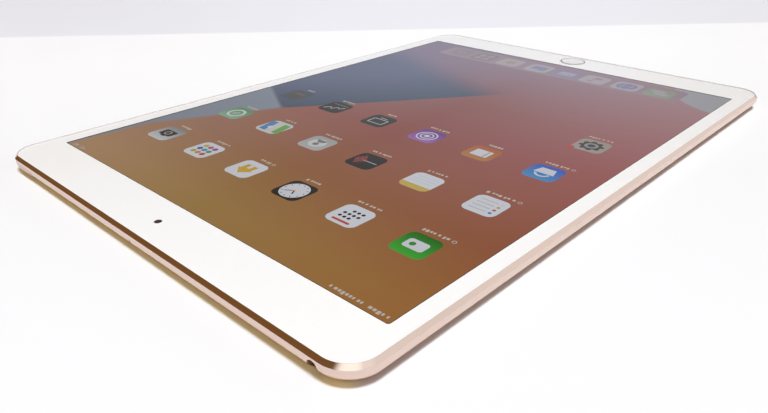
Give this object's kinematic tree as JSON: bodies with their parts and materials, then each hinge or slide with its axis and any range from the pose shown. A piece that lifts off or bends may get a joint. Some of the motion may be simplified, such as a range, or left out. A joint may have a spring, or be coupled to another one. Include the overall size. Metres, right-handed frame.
{
  "type": "tablet computer",
  "caption": "Slim aluminium tablet computer lying on its back: glass front over a lit screen, round home button, edge buttons, audio jack, charging port and speakers.",
  "frame": {"origin": "centre of the flat back, which rests on the surface", "axes": "+X to the right-hand long edge, +Y to the camera end, +Z out of the screen"},
  "size_m": [0.174, 0.2506, 0.0061],
  "materials": {
    "gold_metal": "fine bead-blasted and anodised, polished on the chamfer",
    "front_glass": "polished",
    "white_ink": "printed ink behind glass",
    "clear_bond": "clear resin",
    "dark_foam": "matte adhesive foam",
    "screen": "polarised film",
    "steel": "brushed",
    "flex_cable": "polyimide film over copper",
    "button_white": "polished ceramic-like",
    "black_plastic": "moulded",
    "lens_glass": "coated lens",
    "white_plastic": "moulded",
    "gold_contacts": "gold plated",
    "circuit_board": "solder mask",
    "battery_wrap": "pouch foil",
    "adhesive_strip": "stretch adhesive",
    "woven_mesh": "fine woven mesh",
    "magnet": "nickel plated"
  },
  "bodies": {
    "tablet_body": {"rear_case": "gold_metal", "cover_glass": "front_glass", "bezel_mask": "white_ink", "display_adhesive": "dark_foam", "optical_adhesive": "clear_bond", "lcd_panel": "screen", "backlight_tray": "steel", "display_flex": "flex_cable", "touch_flex": "flex_cable", "home_button_switch": "steel", "home_button_bracket": "steel", "home_button_flex": "flex_cable", "power_button_switch": "black_plastic", "power_switch_bracket": "steel", "volume_button_switches": "black_plastic", "volume_switch_bracket": "steel", "button_flex": "flex_cable", "front_camera_module": "black_plastic", "front_camera_lens": "lens_glass", "ambient_light_sensor": "black_plastic", "rear_camera_module": "black_plastic", "rear_camera_ring": "gold_metal", "rear_camera_window": "lens_glass", "top_microphone": "steel", "rear_microphone": "steel", "headphone_jack_housing": "white_plastic", "headphone_jack_contacts": "gold_contacts", "charging_port_housing": "steel", "charging_port_contacts": "gold_contacts", "charging_port_flex": "flex_cable", "speaker_left": "black_plastic", "speaker_right": "black_plastic", "speaker_meshes": "woven_mesh", "logic_board": "circuit_board", "processor": "black_plastic", "processor_shield": "steel", "circuit_chips": "black_plastic", "board_screws": "steel", "battery_cell_left": "battery_wrap", "battery_cell_right": "battery_wrap", "battery_board": "circuit_board", "battery_adhesive": "adhesive_strip", "wifi_antenna_left": "flex_cable", "wifi_antenna_right": "flex_cable", "edge_connector_body": "white_plastic", "edge_connector_pads": "gold_metal", "cover_magnets": "magnet"},
    "home_button": {"home_button": "button_white", "home_button_ring": "gold_metal", "home_button_carrier": "steel"},
    "power_button": {"power_button": "gold_metal"},
    "volume_up_button": {"volume_up_button": "gold_metal"},
    "volume_down_button": {"volume_down_button": "gold_metal"}
  },
  "joints": [
    {"name": "home_button_press", "type": "slide", "parent": "tablet_body", "child": "home_button", "axis": [0, 0, -1], "range_m": [0, 0.00025], "stiffness_N_per_m": 800},
    {"name": "power_button_press", "type": "slide", "parent": "tablet_body", "child": "power_button", "axis": [0, -1, 0], "range_m": [0, 0.0003], "stiffness_N_per_m": 900},
    {"name": "volume_up_press", "type": "slide", "parent": "tablet_body", "child": "volume_up_button", "axis": [-1, 0, 0], "range_m": [0, 0.0003], "stiffness_N_per_m": 900},
    {"name": "volume_down_press", "type": "slide", "parent": "tablet_body", "child": "volume_down_button", "axis": [-1, 0, 0], "range_m": [0, 0.0003], "stiffness_N_per_m": 900}
  ]
}
